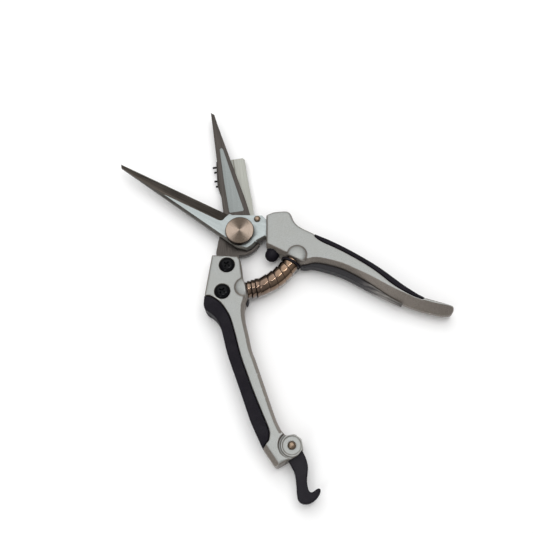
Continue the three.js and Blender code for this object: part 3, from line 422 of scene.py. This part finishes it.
def spring_bronze():
    """Glossy bronze-coloured strip, with painted highlight along its outer edges and painted shade where
    one turn meets the next.
    """
    material, tree, shader = finish(
        "spring_bronze_strip", Metallic=1.0, Coat_Weight=1.0, Coat_Roughness=0.08
    )
    grain = use(tree, GRAIN, Scale=900.0)
    edges = use(tree, EDGES, Width=0.12)
    colour = blend_colour(tree, grain["Cloud"], tone(80, 60, 42), tone(118, 92, 66))
    # Outer edges painted pinkish pale: painted highlight. Where turns meet, painted dark: painted shade.
    colour = tinted(tree, colour, edges["Rubbed"], 0.5, tone(190, 160, 142))
    colour = tinted(tree, colour, edges["Crease shade"], 0.8, tone(46, 32, 26))
    colour_and_roughness(tree, shader, colour, ranged(tree, grain["Speckle"], 0.0, 1.0, 0.09, 0.16))
    return material


BRONZE = spring_bronze()
# Near-black colour for the strip's edge faces: painted shade along the seams.
BRONZE_SEAM_SHADE = steel("spring_seam_shade", tone(20, 13, 9), tone(46, 33, 25))

# ---------------------------------------------------------------- mesh helpers


def new_piece(name, body, materials):
    """A mesh object from a bmesh, with its materials."""
    mesh = bpy.data.meshes.new(name)
    bmesh.ops.recalc_face_normals(body, faces=body.faces)
    body.to_mesh(mesh)
    body.free()
    piece = bpy.data.objects.new(name, mesh)
    bpy.context.scene.collection.objects.link(piece)
    for material in materials:
        mesh.materials.append(material)
    return piece


def from_cad(cad_node):
    """A bmesh of a CAD node, its flat facets merged into whole faces."""
    body = bmesh.new()
    body.from_mesh(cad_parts[cad_node].data)
    bmesh.ops.remove_doubles(body, verts=body.verts, dist=0.002 * MM)
    bmesh.ops.dissolve_limit(body, angle_limit=math.radians(0.8), verts=body.verts, edges=body.edges)
    return body


def settle(piece):
    """Turns the piece's modifiers into its mesh."""
    ready = piece.evaluated_get(bpy.context.evaluated_depsgraph_get())
    mesh = bpy.data.meshes.new_from_object(ready)
    piece.modifiers.clear()
    piece.data = mesh
    return piece


def install(piece, body, slot, *cad_nodes, sharp=30):
    """Smooths the shading, joins the piece to its body and stands it in for its CAD nodes."""
    piece.data.shade_smooth()
    if sharp:
        piece.data.set_sharp_from_angle(angle=math.radians(sharp))
    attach(piece, body)
    if cad_nodes:
        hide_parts(*cad_nodes)
    return piece


def cast(name, cad_node, body, slot, material, pitch=0.32, rounds=6):
    """A casting or moulding: the CAD shape with every edge softly rounded."""
    piece = new_piece(name, from_cad(cad_node), [material])
    skin = piece.modifiers.new("skin", "REMESH")
    skin.mode = "VOXEL"
    skin.voxel_size = pitch * MM
    soften = piece.modifiers.new("soften", "SMOOTH")
    soften.factor = 0.5
    soften.iterations = rounds
    return install(settle(piece), body, slot, cad_node, sharp=0)


def machined(name, cad_node, body, slot, materials, pick=None, edge=0.12):
    """A cut or ground piece: flat faces with a narrow broken edge. pick gives a face its material."""
    shape = from_cad(cad_node)
    if pick:
        for face in shape.faces:
            face.material_index = pick(face)
    piece = new_piece(name, shape, materials)
    if edge:
        bevel = piece.modifiers.new("edge", "BEVEL")
        bevel.width = edge * MM
        bevel.segments = 2
        bevel.limit_method = "ANGLE"
        bevel.angle_limit = math.radians(28)
        bevel.use_clamp_overlap = True
        settle(piece)
    return install(piece, body, slot, cad_node)


def spun(profile, steps=96):
    """A bmesh turned about Z from (radius, height) points in millimetres, bottom to top."""
    body = bmesh.new()
    rings = []
    for radius, height in profile:
        if radius == 0:
            rings.append([body.verts.new((0, 0, height * MM))])
            continue
        turn = [2 * math.pi * i / steps for i in range(steps)]
        spots = [(radius * MM * math.cos(t), radius * MM * math.sin(t), height * MM) for t in turn]
        rings.append([body.verts.new(spot) for spot in spots])
    for low, high in zip(rings, rings[1:]):
        for i in range(steps):
            j = (i + 1) % steps
            if len(low) == 1:
                body.faces.new((low[0], high[j], high[i]))
            elif len(high) == 1:
                body.faces.new((low[i], low[j], high[0]))
            else:
                body.faces.new((low[i], low[j], high[j], high[i]))
    return body


def corner(radius, x, z, start, end, steps=4):
    """Points of a rounded corner about (x, z), from one angle to the other, in degrees."""
    turns = [math.radians(start + (end - start) * i / steps) for i in range(steps + 1)]
    return [(x + radius * math.cos(t), z + radius * math.sin(t)) for t in turns]


def axis_of(cad_node):
    """The upright middle line of a round CAD node, as a point on the floor."""
    low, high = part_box(cad_node)
    return Vector(((low.x + high.x) / 2, (low.y + high.y) / 2, 0))


# ---------------------------------------------------------------- blades and plates

CLEAR_SLOPE = 0.985  # a face this near to level counts as flat
EDGE_SIDE = Vector((math.cos(BLADE_SWING), math.sin(BLADE_SWING), 0))  # from the spine to the edge


def front_blade_face(face):
    """0 for the flat, 1 for the ground side and 2 for the spine side."""
    if face.normal.z > CLEAR_SLOPE:
        return 0
    return 1 if face.normal.dot(EDGE_SIDE) > 0.2 else 2


def rear_blade_face(face):
    """1 for the sunk pale panel and 0 for the rest."""
    low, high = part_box("rear_blade")
    sunk = face.calc_center_median().z < high.z - 0.1 * MM
    return 1 if face.normal.z > CLEAR_SLOPE and sunk else 0


machined("front_blade_forging", "front_blade", "upper_half", "blasted_steel",
         [FRONT_FLAT, FRONT_GROUND, FRONT_SPINE], front_blade_face, edge=0.16)
machined("rear_blade_forging", "rear_blade", "lower_half", "ground_steel", [REAR_BORDER, REAR_PANEL],
         rear_blade_face, edge=0.14)
machined("stem_bar_plate", "stem_bar", "lower_half", "bar_aluminium", [BAR_METAL], edge=0.15)
for rivet in ("bar_rivet_1", "bar_rivet_2"):
    machined(rivet + "_head", rivet, "lower_half", "nickel_plated", [RIVET_METAL], edge=0.15)
for count in range(1, 5):
    pin = f"bar_pin_{count}"
    machined(pin + "_wire", pin, "lower_half", "black_screw", [DARK_PIN], edge=0.25)

# ---------------------------------------------------------------- castings and mouldings

cast("upper_handle_casting", "upper_handle", "upper_half", "cast_aluminium", ALUMINIUM)
cast("lower_handle_casting", "lower_handle", "lower_half", "cast_aluminium", ALUMINIUM)
cast("upper_grip_cover", "upper_grip", "upper_half", "grip_rubber", RUBBER, 0.35, 3)
cast("lower_grip_cover", "lower_grip", "lower_half", "grip_rubber", RUBBER, 0.35, 3)
# The upper strip's black is painted shade of the handle's channel, fading to grey at its far end.
cast("upper_strip", "upper_inner_strip", "upper_half", "black_plastic", STRIP_CHANNEL_SHADE, 0.2, 4)
cast("lower_strip", "lower_inner_strip", "lower_half", "black_plastic", PLASTIC, 0.2, 4)
cast("spring_seat_ring", "spring_seat", "upper_half", "black_plastic", PLASTIC, 0.2, 4)
cast("bumper_plug", "rubber_bumper", "upper_half", "grip_rubber", RUBBER, 0.2, 5)
cast("latch_hook_moulding", "latch_hook", "latch", "black_plastic", PLASTIC, 0.25, 4)

# ---------------------------------------------------------------- turned pieces

BOLT_HEAD_HEIGHT = 3.4
BOLT_SHANK_RADIUS = 4.0
BOLT_SHANK_CHAMFER = 0.4
BOLT_UNDER_ROUND = 0.3
BOLT_TOP_ROUND = 0.7


def pivot_bolt():
    """The large disc head, slightly crowned, on a plain shank."""
    low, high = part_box("pivot_bolt")
    radius = (high.x - low.x) / 2 / MM
    top = high.z / MM
    under = top - BOLT_HEAD_HEIGHT
    foot = low.z / MM
    profile = [(0, foot), (BOLT_SHANK_RADIUS - BOLT_SHANK_CHAMFER, foot)]
    profile += [(BOLT_SHANK_RADIUS, foot + BOLT_SHANK_CHAMFER)]
    profile += [(BOLT_SHANK_RADIUS, under), (radius - BOLT_UNDER_ROUND, under)]
    profile += corner(BOLT_UNDER_ROUND, radius - BOLT_UNDER_ROUND, under + BOLT_UNDER_ROUND, -90, 0)
    profile += corner(BOLT_TOP_ROUND, radius - BOLT_TOP_ROUND, top - 0.75, 0, 80, 6)
    profile += [(r, top - 0.12 * r / radius) for r in (5.5, 4, 2.5, 1.2, 0.5)]
    profile += [(0.2, top - 0.15), (0, top - 0.2)]
    piece = new_piece("pivot_bolt_turning", spun(profile), [NICKEL])
    return install(piece, "lower_half", "nickel_plated", "pivot_bolt")


def domed_pin(name, cad_node, body, head_radius, head_height, shank_radius):
    """A pin with a half-round head on a plain shank."""
    low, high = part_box(cad_node)
    bottom, top = low.z / MM, high.z / MM
    rim = top - head_height
    profile = [(0, bottom), (shank_radius - 0.2, bottom), (shank_radius, bottom + 0.2)]
    profile += [(shank_radius, rim)]
    for i in range(9):
        turn = math.radians(90 * i / 8)
        radius = head_radius * math.cos(turn) if i < 8 else 0
        profile.append((radius, rim + head_height * math.sin(turn)))
    piece = new_piece(name, spun(profile, 64), [COPPER])
    piece.location = axis_of(cad_node)
    return install(piece, body, "copper_plated", cad_node, sharp=50)


SCREW_HEAD_RADIUS = 4.0
SCREW_HEAD_HEIGHT = 2.1
SCREW_SHANK_RADIUS = 2.2
CROSS_REACH = 2.1
CROSS_WIDTH = 0.95
CROSS_DEPTH = 1.3
CROSS_TURN = 20  # degrees
SCREW_RIM_HEIGHT = 0.6


def cross_cutter(top):
    """The cross of a driver recess, narrower at its bottom."""
    body = bmesh.new()
    for turn in (0, 90):
        ends = []
        for height, share in ((top - CROSS_DEPTH, 0.5), (top + 1.0, 1.3)):
            x, y = CROSS_REACH * share * MM, CROSS_WIDTH / 2 * MM * (0.6 + 0.4 * share)
            spots = [(-x, -y), (x, -y), (x, y), (-x, y)]
            ends.append([body.verts.new((sx, sy, height * MM)) for sx, sy in spots])
        made = [ends[0][::-1], ends[1]]
        made += [[ends[0][i], ends[0][(i + 1) % 4], ends[1][(i + 1) % 4], ends[1][i]] for i in range(4)]
        for loop in made:
            body.faces.new(loop)
        corners = ends[0] + ends[1]
        about = Matrix.Rotation(math.radians(turn + CROSS_TURN), 3, "Z")
        bmesh.ops.rotate(body, verts=corners, matrix=about)
    return body


def handle_screw(cad_node, body, facing=1):
    """A black button-head screw with a driver recess; facing -1 puts its head underneath."""
    low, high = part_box(cad_node)
    length = (high.z - low.z) / MM
    profile = [(0, 0), (SCREW_SHANK_RADIUS - 0.3, 0), (SCREW_SHANK_RADIUS, 0.3)]
    profile += [(SCREW_SHANK_RADIUS, length - SCREW_HEAD_HEIGHT)]
    rim = length - SCREW_HEAD_HEIGHT
    profile += [(SCREW_HEAD_RADIUS - 0.2, rim), (SCREW_HEAD_RADIUS, rim + 0.2)]
    profile += [(SCREW_HEAD_RADIUS, rim + SCREW_RIM_HEIGHT)]
    crown = SCREW_HEAD_HEIGHT - SCREW_RIM_HEIGHT
    for i in range(1, 10):
        turn = math.radians(90 * i / 9)
        radius = SCREW_HEAD_RADIUS * math.cos(turn) if i < 9 else 0
        profile.append((radius, rim + SCREW_RIM_HEIGHT + crown * math.sin(turn)))
    piece = new_piece(cad_node + "_button", spun(profile, 64), [BLACK_SCREW])
    cutter = new_piece("cutter", cross_cutter(length), [BLACK_SCREW])
    cut = piece.modifiers.new("cross", "BOOLEAN")
    cut.object = cutter
    cut.operation = "DIFFERENCE"
    cut.solver = "EXACT"
    cut.use_self = True
    settle(piece)
    bpy.data.objects.remove(cutter)
    if facing < 0:
        piece.data.transform(Matrix.Rotation(math.pi, 4, "X"))
    place = axis_of(cad_node)
    piece.location = (place.x, place.y, low.z if facing > 0 else high.z)
    return install(piece, body, "black_screw", cad_node)


pivot_bolt()
domed_pin("stop_pin_dome", "stop_pin", "upper_half",
          head_radius=1.75, head_height=1.05, shank_radius=1.6)
domed_pin("latch_pin_dome", "latch_pin", "lower_half",
          head_radius=2.1, head_height=1.5, shank_radius=1.5)
for number in (1, 2):
    handle_screw(f"lower_handle_screw_{number}", "lower_half")
    handle_screw(f"upper_handle_screw_{number}", "upper_half", -1)
machined("pivot_nut_hex", "pivot_nut", "lower_half", "nickel_plated", [NICKEL], edge=0.25)
machined("pivot_washer_disc", "pivot_washer", "lower_half", "nickel_plated", [NICKEL], edge=0.08)
machined("pivot_bush_sleeve", "pivot_bush", "lower_half", "bearing_bronze", [BRONZE_BUSH], edge=0.1)

# ---------------------------------------------------------------- spring

SPRING_PATH_RADIUS = 33.0  # the spring's middle line, from the pivot
SPRING_FROM = math.radians(-128.1)
SPRING_TO = math.radians(-57.6)
SPRING_LEVEL = 6.5
STRIP_THICKNESS = 0.55
STRIP_OVERLAP = 1.0
WIDEST_AT = 0.36  # share of the spring's length from its lower end
END_RADII = (3.0, 4.7, 3.8)
CLOSE_TURNS, OPEN_TURNS = 6, 6
STEPS_A_TURN = 48
EDGE_ROUND = 0.3  # width of the rounded rim along each edge of the strip
CROWN = 0.03  # the strip bulges by this much across its width
CUT_EDGES = (1, 2, 5, 6)  # sides of the strip's section that are its cut edges, painted dark as seam shade


def spring_station(turn):
    """How far along the spring a turn is, as a share of its length, and the turn's pitch share."""
    if turn < CLOSE_TURNS:
        return WIDEST_AT * turn / CLOSE_TURNS, WIDEST_AT / CLOSE_TURNS
    rest = (1 - WIDEST_AT) / OPEN_TURNS
    return WIDEST_AT + (turn - CLOSE_TURNS) * rest, rest


def spring_radius(share):
    first, widest, last = END_RADII
    if share < WIDEST_AT:
        return first + (widest - first) * math.sin(math.pi / 2 * share / WIDEST_AT)
    past = (share - WIDEST_AT) / (1 - WIDEST_AT)
    return last + (widest - last) * math.cos(math.pi / 2 * past ** 1.3)


def volute_spring():
    """A flat strip wound as a double volute, each turn lapping the next, bent round the pivot."""
    span = SPRING_TO - SPRING_FROM
    length = SPRING_PATH_RADIUS * span
    body = bmesh.new()
    loops = []
    total = (CLOSE_TURNS + OPEN_TURNS) * STEPS_A_TURN
    half = STRIP_THICKNESS / 2
    for i in range(total + 1):
        turn = i / STEPS_A_TURN
        share, pitch_share = spring_station(turn)
        pitch = pitch_share * length
        width = pitch + STRIP_OVERLAP
        side = max(-1.0, min(1.0, (turn - CLOSE_TURNS) / 0.5))
        lean = side * (STRIP_THICKNESS + 0.05) / pitch
        reach = width / 2
        inner_reach = reach - EDGE_ROUND
        section = [(-reach, -half), (reach, -half), (reach, half * 0.3), (inner_reach, half)]
        section += [(0.0, half + CROWN), (-inner_reach, half), (-reach, half * 0.3)]
        loop = []
        for along, out in section:
            distance = share * length + along
            distance = max(0.0, min(length, distance))
            radius = spring_radius(share) + out + lean * along
            turned_by = turn * 2 * math.pi
            off = SPRING_PATH_RADIUS + radius * math.cos(turned_by)
            theta = SPRING_FROM + distance / SPRING_PATH_RADIUS
            height = SPRING_LEVEL + radius * math.sin(turned_by)
            spot = (off * math.cos(theta) * MM, off * math.sin(theta) * MM, height * MM)
            loop.append(body.verts.new(spot))
        loops.append(loop)
    count = len(loops[0])
    for first, second in zip(loops, loops[1:]):
        for k in range(count):
            face = body.faces.new((first[k], first[(k + 1) % count], second[(k + 1) % count], second[k]))
            # The cut edges get the dark seam material: painted shade.
            face.material_index = 1 if k in CUT_EDGES else 0
    body.faces.new(loops[0][::-1])
    body.faces.new(loops[-1])
    piece = new_piece("volute_coils", body, [BRONZE, BRONZE_SEAM_SHADE])
    piece.data.shade_smooth()
    piece.data.set_sharp_from_angle(angle=math.radians(35))

    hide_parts("volute_spring")
    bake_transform(piece)


volute_spring()

# ---------------------------------------------------------------- studio

FLOOR_SIZE = 8.0
FLOOR_DROP = 0.0005  # the floor lies this far under the shears
PAPER = (0.98, 0.98, 0.98, 1)
LOW_LIGHT = (0.2, 0.19, 0.18, 1)
HIGH_LIGHT = (1.0, 1.0, 1.0, 1)
BACKDROP = (1.5, 1.5, 1.5, 1)
LAMPS = (  # name, place, aim, size and watts
    ("overhead", (0.2, 0.45, 1.1), (0, -0.03, 0), (1.5, 1.5), 9.5),
    ("side_strip", (-0.55, -0.25, 0.45), (0, -0.03, 0), (0.1, 0.7), 0.9),
    ("catch_light", (0.085, -0.1, 0.5), (0.085, -0.03, 0), (0.34, 0.012), 0.36),
)


def studio():
    """A pale floor, soft light from above and the camera."""
    scene = bpy.context.scene
    scene.view_settings.view_transform = "Standard"
    floor_mesh = bpy.data.meshes.new("floor")
    reach = FLOOR_SIZE / 2
    spots = [(-reach, -reach, 0), (reach, -reach, 0), (reach, reach, 0), (-reach, reach, 0)]
    floor_mesh.from_pydata(spots, [], [(0, 1, 2, 3)])
    floor = bpy.data.objects.new("floor", floor_mesh)
    floor.location.z = cad_box[0][2] - FLOOR_DROP
    scene.collection.objects.link(floor)
    paper = finish("floor_paper", Roughness=0.9, Base_Color=PAPER)[0]
    floor_mesh.materials.append(paper)

    world = bpy.data.worlds.new("studio")
    scene.world = world
    world.use_nodes = True
    tree = world.node_tree
    sky = tree.nodes["Background"]
    place = node(tree, "ShaderNodeTexCoord").outputs["Generated"]
    up = node(tree, "ShaderNodeSeparateXYZ", {0: place}).outputs["Z"]
    lift = ranged(tree, up, -0.1, 0.8)
    colour = blend_colour(tree, lift, LOW_LIGHT, HIGH_LIGHT)
    seen = node(tree, "ShaderNodeLightPath").outputs["Is Camera Ray"]
    colour = blend_colour(tree, seen, colour, BACKDROP)
    tree.links.new(colour, sky.inputs["Color"])
    sky.inputs["Strength"].default_value = 0.6

    for name, place, aim, size, watts in LAMPS:
        lamp = bpy.data.lights.new(name, "AREA")
        lamp.shape = "RECTANGLE"
        lamp.size, lamp.size_y = size
        lamp.energy = watts
        holder = bpy.data.objects.new(name, lamp)
        holder.location = place
        holder.rotation_euler = (Vector(aim) - Vector(place)).to_track_quat("-Z", "Y").to_euler()
        scene.collection.objects.link(holder)

    lens = bpy.data.cameras.new("camera")
    lens.sensor_width = 36
    lens.lens = 54.03
    camera = bpy.data.objects.new("camera", lens)
    camera.location = (-0.07229, -0.16471, 0.41568)
    camera.rotation_euler = [math.radians(turn) for turn in (21.0, 2.8, -34.77)]
    scene.collection.objects.link(camera)
    scene.camera = camera


studio()
